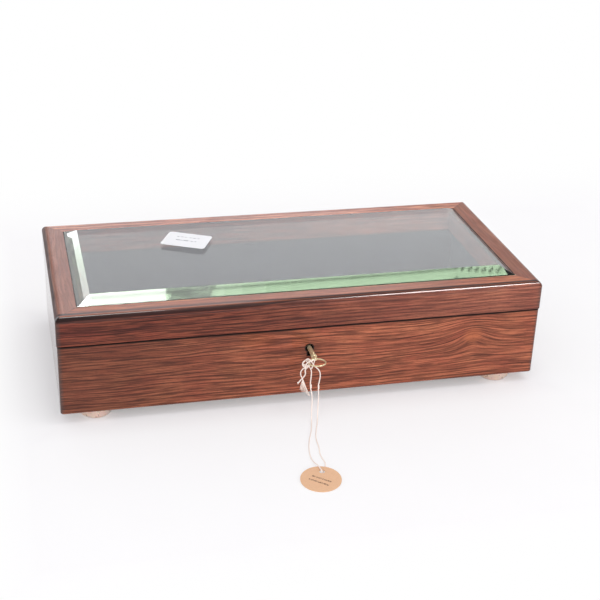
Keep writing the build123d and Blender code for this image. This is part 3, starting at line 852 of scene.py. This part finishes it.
KEY_PROFILE = [
    (0.0, -88.4), (1.12, -88.3), (1.15, -81.7), (1.35, -81.42), (1.65, -81.42), (1.85, -81.7),
    (1.85, -105.6), (1.72, -105.75), (1.72, -106.1), (1.85, -106.25), (1.85, -106.9),
    (1.95, -107.3), (2.25, -107.55), (2.38, -107.9), (2.38, -108.6), (2.25, -108.95),
    (1.9, -109.15), (1.55, -109.5), (1.4, -110.3), (1.45, -111.2), (1.6, -112.1), (1.5, -112.9),
    (1.1, -113.3), (0.0, -113.4),
]
BOW_MIDDLE_Y = -118.5
BOW_HALF_X = 6.9
BOW_HALF_Y = 5.95
BOW_BAND = 0.52
BIT_REACH = 5.5
BIT_ROOT = 1.6
BIT_HALF = 0.85


def cabinet_key():
    """A small pipe key: turned shank and collar, oval ring bow, stepped bit."""
    form = bmesh.new()
    add_lathe(form, KEY_PROFILE, 40, lambda x, y, along: (KEY_X + x, along, KEY_Z + y))
    path = []
    steps = 72
    for step in range(steps):
        angle = 2 * math.pi * step / steps
        cosine, sine = math.cos(angle), math.sin(angle)
        point = Vector((KEY_X + BOW_HALF_X * cosine, BOW_MIDDLE_Y + BOW_HALF_Y * sine, KEY_Z))
        outward = Vector((cosine / BOW_HALF_X, sine / BOW_HALF_Y, 0)).normalized()
        path.append((point, outward, Vector((0, 0, 1))))
    section = []
    for step in range(16):
        angle = 2 * math.pi * step / 16
        across = BOW_BAND * math.copysign(abs(math.cos(angle)) ** 0.7, math.cos(angle))
        tall = BOW_BAND * math.copysign(abs(math.sin(angle)) ** 0.7, math.sin(angle))
        section.append((across, tall))
    add_swept_ring(form, path, section)
    # the bit: two steps and the web between them, each from front to back
    for inset, front, back, bevel in (
        (0.0, -86.95, -84.2, 0.15),
        (0.0, -83.3, -82.45, 0.15),
        (0.9, -84.35, -83.15, 0.1),
    ):
        low = (KEY_X - BIT_REACH + inset, front, KEY_Z - BIT_HALF)
        add_block(form, low, (KEY_X - BIT_ROOT, back, KEY_Z + BIT_HALF), bevel)
    mesh_piece("cabinet_key", form, key_brass, "key", ("key",), 35)


# ---- screws ----

SCREW_HEAD = 2.2
SCREW_SLOT = 0.26


def screw_heads(name, places, direction, body, material, slot):
    """Countersunk heads, each in two halves beside its slot. direction is the way that they face."""
    form = bmesh.new()
    facing = Vector(direction)
    side = Vector((1, 0, 0))
    other = facing.cross(side)
    for number, place in enumerate(places):
        # no two slots stand at the same angle
        turn = math.radians(25 + 47 * number)
        along = side * math.cos(turn) + other * math.sin(turn)
        across = facing.cross(along)
        for half in (-1, 1):
            rim = []
            start = math.asin(SCREW_SLOT / SCREW_HEAD)
            for step in range(13):
                angle = start + (math.pi - 2 * start) * step / 12
                rim.append((SCREW_HEAD * math.cos(angle), half * SCREW_HEAD * math.sin(angle)))
            rings = []
            # from under the plate's face up to the rim's chamfer
            for height, shrink in ((-0.3, 1.0), (0.03, 1.0), (0.07, 0.94)):
                ring = []
                for u, v in rim:
                    inner_v = half * max(abs(v) * shrink, SCREW_SLOT)
                    spot = Vector(place) + along * (u * shrink) + across * inner_v + facing * height
                    ring.append(form.verts.new(spot))
                rings.append(ring)
            for lower, upper in zip(rings, rings[1:]):
                for step in range(len(lower)):
                    after = (step + 1) % len(lower)
                    form.faces.new((lower[step], lower[after], upper[after], upper[step]))
            form.faces.new(rings[0])
            form.faces.new(rings[-1])
    mesh_piece(name, form, material, body, (), 30)


# ---- string and ticket ----

# From the knot over the bow and down through it, along the table, through the ticket and back.
STRING_ROUTE = [
    (-4.2, -110.5, 46.2), (-6.8, -111.8, 49.2), (-5.9, -114.4, 52.7), (-3.7, -116.7, 51.9),
    (-2.1, -117.2, 48.8), (0.4, -115.7, 45.2), (3.9, -114.0, 41.4), (5.9, -112.8, 36.5),
    (5.0, -113.8, 31.0), (3.7, -114.8, 26.5), (4.2, -116.6, 19.0), (3.1, -119.2, 9.5),
    (2.2, -122.8, 2.6), (0.6, -128.5, 0.46), (-2.7, -138.0, 0.46), (-6.4, -150.5, 0.46),
    (-6.7, -163.0, 0.46), (-9.0, -174.5, 0.46), (-7.2, -185.0, 0.46), (-9.6, -192.0, 0.46),
    (-12.0, -196.2, 0.46), (-13.0, -198.0, 0.46), (-13.5, -198.85, 1.2), (-13.8, -198.85, 2.3),
    (-14.0, -198.1, 3.1), (-14.1, -196.9, 3.2), (-14.4, -194.4, 3.15), (-14.9, -191.0, 3.0),
    (-16.2, -184.5, 1.3), (-16.9, -176.0, 0.46), (-15.3, -164.0, 0.46), (-11.8, -151.5, 0.46),
    (-6.9, -139.0, 0.46), (-4.2, -129.0, 0.46), (-2.8, -123.0, 2.8), (-2.1, -119.4, 9.8),
    (-1.2, -117.2, 18.5), (-3.1, -115.0, 27.5), (-1.9, -113.2, 35.5), (-1.5, -112.3, 41.2),
    (-4.2, -111.2, 44.6),
]
LONG_TAIL = [
    (-6.4, -111.2, 43.2), (-9.8, -111.0, 41.0), (-10.5, -111.2, 36.6), (-8.5, -111.4, 32.6),
    (-6.9, -111.4, 28.0), (-5.0, -111.3, 22.5), (-2.6, -111.2, 16.8),
]
SHORT_TAIL = [
    (-5.6, -110.4, 42.8), (-6.6, -110.0, 39.6), (-5.6, -109.8, 36.2), (-7.0, -109.8, 33.6),
    (-9.3, -109.9, 31.2), (-11.3, -110.0, 28.8),
]
# A hitch from the strand on the left, up through the bow, over its rim and round to the knot.
HITCH = [
    (-1.7, -113.0, 42.4), (-1.0, -114.4, 46.5), (-0.2, -116.0, 51.6), (-1.6, -117.8, 52.9),
    (-3.6, -119.2, 52.8), (-6.2, -119.4, 52.5), (-7.8, -117.4, 49.4), (-7.0, -114.0, 46.0),
    (-4.2, -111.2, 44.6),
]
STRING_RADIUS = 0.45
KNOT_PLACE = Vector((-5.9, -111.0, 43.9))
KNOT_SPREAD = 0.85
KNOT_DEPTH = 0.8
LOOP_PLACE = Vector((-6.1, -111.6, 46.5))
LOOP_HALF_X = 2.9
LOOP_HALF_Z = 3.3
FRAY_PLACE = Vector((-8.3, -111.4, 32.0))


def add_yarn(curve, points, thickness=1.0, closed=False):
    """Adds one smooth strand through the points, given in millimetres."""
    strand = curve.splines.new("NURBS")
    strand.points.add(len(points) - 1)
    for spot, point in zip(strand.points, points):
        spot.co = (point[0] * MM, point[1] * MM, point[2] * MM, 1)
        spot.radius = thickness
    strand.order_u = 3
    strand.use_endpoint_u = not closed
    strand.use_cyclic_u = closed
    strand.resolution_u = 6


def yarn_curve(name):
    """An empty curve of cotton with the string's round section."""
    curve = bpy.data.curves.new(name, "CURVE")
    curve.dimensions = "3D"
    curve.bevel_depth = STRING_RADIUS * MM
    curve.bevel_resolution = 3
    curve.use_fill_caps = True
    curve.materials.append(string_cotton)
    return curve


def tie_ticket():
    """The looped string, its knot and its frayed tails."""
    loop_curve = yarn_curve("ticket_cord")
    add_yarn(loop_curve, STRING_ROUTE)
    loop = place_piece("ticket_cord", loop_curve, "case", ("ticket_string",))

    knot_curve = yarn_curve("overhand_knot")
    turns = []
    for step in range(36):
        angle = 2 * math.pi * step / 36
        across = KNOT_SPREAD * (math.sin(angle) + 2 * math.sin(2 * angle))
        up = KNOT_SPREAD * (math.cos(angle) - 2 * math.cos(2 * angle))
        turns.append(KNOT_PLACE + Vector((across, -KNOT_DEPTH * math.sin(3 * angle), up)))
    add_yarn(knot_curve, turns, 1.3, True)
    loop_turns = []
    for step in range(14):
        angle = 2 * math.pi * step / 14
        lean = 0.5 * math.sin(2 * angle)
        bend = Vector((LOOP_HALF_X * math.cos(angle), lean, LOOP_HALF_Z * math.sin(angle)))
        loop_turns.append(LOOP_PLACE + bend)
    add_yarn(knot_curve, loop_turns, 1.35, True)
    add_yarn(knot_curve, HITCH, 1.05)
    # slubs in the two strands
    for place in ((3.9, -115.0, 26.0), (-2.6, -115.3, 27.5)):
        middle = Vector(place)
        slub = [middle + Vector((0.35 * (step % 2), -0.2, 1.5 - step)) for step in range(4)]
        add_yarn(knot_curve, slub, 1.45)
    knot = place_piece("overhand_knot", knot_curve, "case", ("string_knot",))

    tail_curve = yarn_curve("frayed_tails")
    add_yarn(tail_curve, LONG_TAIL, 0.95)
    add_yarn(tail_curve, SHORT_TAIL, 1.2)
    # the long tail has come apart in a fan of fibres
    for fibre in range(17):
        share = fibre / 16
        level = 22.6 - 6.6 * share + 1.3 * (fibre % 2)
        end = Vector((-10.2 + 8.2 * share, -111.4 - 0.5 * (fibre % 3), level))
        middle = FRAY_PLACE.lerp(end, 0.45) + Vector((-0.9 * (1 - share), 0.3 * (fibre % 2), -0.4))
        add_yarn(tail_curve, [FRAY_PLACE, middle, end], 0.3)
    # and the short one ends in a brush
    tip = Vector(SHORT_TAIL[-1])
    before = Vector(SHORT_TAIL[-2])
    for fibre in range(7):
        lean = (fibre - 3) * 0.28
        end = tip + Vector((-0.9 + lean * 0.4, 0.2 * (fibre % 2), -0.7 - lean * 0.9))
        add_yarn(tail_curve, [before, tip + Vector((0.2 * lean, 0, -0.3 * lean)), end], 0.36)
    tails = place_piece("frayed_tails", tail_curve, "case", ("string_tails",))


# ---- the setting, in metres ----

PAPER_REACH = 6.0
PAPER_DARK_X = 0.199
PAPER_DARK_Y = 0.0935
CEILING = 1.5
WINDOW_X = -0.92
WINDOW_Y = 2.28
WINDOW_WIDTH = 0.9


def table_paper():
    """Pale paper under the case: it takes the shadow near the case and goes white away from it."""
    material, tree, shader = new_material("table_paper", Specular_IOR_Level=0.1)
    speck = cloud(millimetres(tree), 0.02, 3.0)
    dress(shader, mix_colours(speck, (0.86, 0.846, 0.842, 1), (0.89, 0.876, 0.872, 1)), 0.9)
    glow = add_node(tree, "ShaderNodeEmission")
    glow.inputs["Color"].default_value = (1, 1, 1, 1)
    glow.inputs["Strength"].default_value = 1.0
    x, y = split_vector(outputs_of(add_node(tree, "ShaderNodeTexCoord"))["Object"])[:2]
    # painted light: the paper glows over a quarter of the way to white under the case, lifting its shadow,
    # half way a little off from it, then white
    past = largest(abs(x) - PAPER_DARK_X, abs(y) - PAPER_DARK_Y)
    away = largest(
        spread(past, 0.0, 0.03, 0.28, 0.52, smooth=True),
        spread(y, 0.10, 0.45, smooth=True),
        spread(y, -0.215, -0.33, smooth=True),
        spread(x, -0.200, -0.26, 0.28, 0.88, smooth=True),
        spread(x, 0.24, 0.6, smooth=True),
    )
    path = outputs_of(add_node(tree, "ShaderNodeLightPath"))
    seen = largest(path["Is Camera Ray"], path["Is Glossy Ray"], path["Is Transmission Ray"])
    mixed = mix_shaders(away * seen, Value(shader.outputs[0]), Value(glow.outputs[0]))
    # seen from below the paper is clear, so that the underside of the case shows
    clear = add_node(tree, "ShaderNodeBsdfTransparent")
    underside = outputs_of(add_node(tree, "ShaderNodeNewGeometry"))["Backfacing"]
    below = mix_shaders(underside * path["Is Camera Ray"], mixed, Value(clear.outputs[0]))
    feed(tree.nodes["Material Output"].inputs["Surface"], below)
    mesh = bpy.data.meshes.new("table_paper")
    corners = [(-1, -1), (1, -1), (1, 1), (-1, 1)]
    mesh.from_pydata([(PAPER_REACH * x, PAPER_REACH * y, 0) for x, y in corners], [], [(0, 1, 2, 3)])
    mesh.materials.append(material)
    place_object("table_paper", mesh)


def soft_box(name, place, target, width, height, radiance, mirrored=True, shining=True, colour=(1, 1, 1)):
    """A rectangular lamp that faces a target. It is mirrored in polish, or shines on colours, or both."""
    data = bpy.data.lights.new(name, "AREA")
    data.shape = "RECTANGLE"
    data.size = width
    data.size_y = height
    data.energy = math.pi * width * height * radiance
    data.color = colour
    lamp = place_object(name, data)
    aim = Vector(target) - Vector(place)
    lamp.location = place
    lamp.rotation_mode = "QUATERNION"
    lamp.rotation_quaternion = aim.to_track_quat("-Z", "Y")
    lamp.visible_glossy = mirrored
    lamp.visible_diffuse = shining
    lamp.visible_transmission = False


def studio_world():
    """White to the camera, bright low down behind the case, dim overhead and in front."""
    world = bpy.data.worlds.new("studio")
    bpy.context.scene.world = world
    world.use_nodes = True
    tree = world.node_tree
    tree.nodes.clear()
    output = add_node(tree, "ShaderNodeOutputWorld")
    y, z = split_vector(outputs_of(add_node(tree, "ShaderNodeTexCoord"))["Generated"])[1:]
    path = outputs_of(add_node(tree, "ShaderNodeLightPath"))
    polish = largest(path["Is Glossy Ray"], path["Is Transmission Ray"])
    behind = spread(y, -0.1, 0.45, smooth=True)
    wall = spread(polish, 0.0, 1.0, 0.85, 1.6)
    wall_top = spread(polish, 0.0, 1.0, 0.7, 0.3)
    front = spread(polish, 0.0, 1.0, 1.3, 0.35)
    ceiling = spread(polish, 0.0, 1.0, 1.05, 0.18)
    behind_glow = spread(z, 0.5, 0.85, wall, wall_top, smooth=True)
    front_glow = spread(z, 0.22, 0.45, front, ceiling, smooth=True)
    room = add_node(tree, "ShaderNodeBackground")
    room.inputs["Color"].default_value = (1.0, 0.995, 1.045, 1)
    feed(room.inputs["Strength"], behind * (behind_glow - front_glow) + front_glow)
    white = add_node(tree, "ShaderNodeBackground")
    white.inputs["Color"].default_value = (1, 1, 1, 1)
    white.inputs["Strength"].default_value = 1.0
    mixed = mix_shaders(path["Is Camera Ray"], Value(room.outputs[0]), Value(white.outputs[0]))
    feed(output.inputs["Surface"], mixed)


def light_the_case():
    """Soft lamps overhead, left and right, a paned window low at the back left, and fill."""
    soft_box("ceiling_left", (-0.12, 0.24, CEILING), (-0.10, 0.0, 0.09), 0.36, 0.34, 12.5, shining=False)
    corner_place = (-0.104, 0.20, CEILING - 0.001)
    soft_box("ceiling_corner", corner_place, (-0.104, 0.0, 0.09), 0.034, 0.05, 20, shining=False)
    soft_box("ceiling_right", (0.66, -0.45, CEILING), (0.1, -0.09, 0.09), 0.44, 0.44, 38, shining=False)
    soft_box("key_right", (0.66, -0.40, CEILING), (0.1, -0.09, 0.09), 0.55, 0.45, 3, mirrored=False)
    # the window's panes, from the sill up, with a glazing bar's gap between them
    for number, (low, high, radiance) in enumerate((
        (0.600, 0.742, 0.9), (0.751, 0.767, 0.9), (0.776, 0.789, 0.85),
        (0.798, 0.808, 0.8), (0.817, 1.150, 0.6),
    )):
        soft_box(
            f"window_pane_{number + 1}",
            (WINDOW_X, WINDOW_Y, (low + high) / 2),
            (-0.17, 0.0, 0.1),
            WINDOW_WIDTH,
            high - low,
            radiance,
            colour=(0.96, 1.0, 0.80),
        )
    # uneven strips of ceiling light beside the lamp on the left
    for number, (left, right, radiance) in enumerate((
        (0.066, 0.112, 2.6), (0.112, 0.150, 3.3), (0.150, 0.178, 2.2),
        (0.178, 0.215, 1.5), (0.215, 0.262, 0.8),
    )):
        soft_box(
            f"ceiling_strip_{number + 1}",
            ((left + right) / 2, 0.22, CEILING),
            ((left + right) / 2, 0.0, 0.09),
            right - left,
            0.12 + 0.04 * (number % 3),
            radiance,
            shining=False,
        )
    soft_box("front_fill", (-0.2, -2.0, 0.9), (0.0, -0.1, 0.04), 2.2, 1.2, 1.5, mirrored=False)


place_camera()
table_paper()
studio_world()
light_the_case()
scene = bpy.context.scene
scene.view_settings.view_transform = "Standard"
scene.cycles.max_bounces = 32
scene.cycles.glossy_bounces = 28
scene.cycles.transmission_bounces = 28


# ---- finishes and pieces ----

foot_rubber = soft_foot_rubber()
key_brass = worn_brass("key_brass", (0.82, 0.69, 0.44, 1), (0.42, 0.31, 0.15, 1), 0.3, 0.5, metallic=0.6)
lock_brass = worn_brass("lock_brass", (0.68, 0.50, 0.22, 1), (0.36, 0.25, 0.1, 1), 0.3, 0.52, DEEP_KEYHOLE)
hinge_brass = worn_brass("hinge_brass", (0.68, 0.50, 0.22, 1), (0.38, 0.27, 0.11, 1), 0.32, 0.5)
lock_steel = worn_brass("lock_steel", (0.5, 0.5, 0.5, 1), (0.22, 0.18, 0.14, 1), 0.3, 0.55)
string_cotton = cotton()


def finish_pieces(finish, *names):
    """Gives CAD pieces their finish."""
    for name in names:
        for material_slot in nodes[name].material_slots:
            material_slot.material = finish


finish_pieces(case_front_wood, "case_front")
finish_pieces(case_back_wood, "case_back")
finish_pieces(case_side_wood, "case_left", "case_right")
finish_pieces(lid_front_wood, "lid_front")
finish_pieces(lid_back_wood, "lid_back")
finish_pieces(lid_side_wood, "lid_left", "lid_right")
finish_pieces(plain_board(), "bottom_board")
finish_pieces(velvet(), "floor_lining", "lining_front", "lining_back", "lining_left", "lining_right")
finish_pieces(plate_glass(), "glass_pane")
finish_pieces(bedding_mastic(), "glazing_mastic")
finish_pieces(label_paper(), "price_label")
finish_pieces(buff_card(), "ticket")
finish_pieces(lock_brass, "lock_plate", "lock_cap", "link_plate")
finish_pieces(lock_steel, "lock_pin", "lock_stumps", "lock_bolt")
for side in ("left", "right"):
    finish_pieces(hinge_brass, f"hinge_{side}_base_leaf", f"hinge_{side}_lid_leaf", f"hinge_{side}_pin")

for foot in ("foot_front_left", "foot_front_right", "foot_back_left", "foot_back_right"):
    bumper_foot(foot)
cabinet_key()
tie_ticket()

HINGE_SCREWS_X = (-159.0, -137.0, 137.0, 159.0)
HINGE_SCREWS_Y = 88.2
LOCK_SCREWS_X = (-22.6, 24.6)
SELVEDGE_SCREWS_Y = -84.4
CAP_SCREWS_Y = -79.5
CAP_SCREWS_Z = 40.9
UP = (0, 0, 1)
DOWN = (0, 0, -1)
INWARD = (0, 1, 0)
HINGE_FINISH = (hinge_brass, "hinge_brass")
LOCK_FINISH = (lock_brass, "lock_brass")
for name, xs, y, z, facing, body, finish in (
    ("hinge_screws_case", HINGE_SCREWS_X, HINGE_SCREWS_Y, BASE_TOP, UP, "case", HINGE_FINISH),
    ("hinge_screws_lid", HINGE_SCREWS_X, HINGE_SCREWS_Y, LID_BOTTOM, DOWN, "lid", HINGE_FINISH),
    ("lock_screws_case", LOCK_SCREWS_X, SELVEDGE_SCREWS_Y, BASE_TOP, UP, "case", LOCK_FINISH),
    ("lock_screws_lid", LOCK_SCREWS_X, SELVEDGE_SCREWS_Y, LID_BOTTOM, DOWN, "lid", LOCK_FINISH),
    ("lock_screws_inside", LOCK_SCREWS_X, CAP_SCREWS_Y, CAP_SCREWS_Z, INWARD, "case", LOCK_FINISH),
):
    screw_heads(name, [(x, y, z) for x in xs], facing, body, *finish)
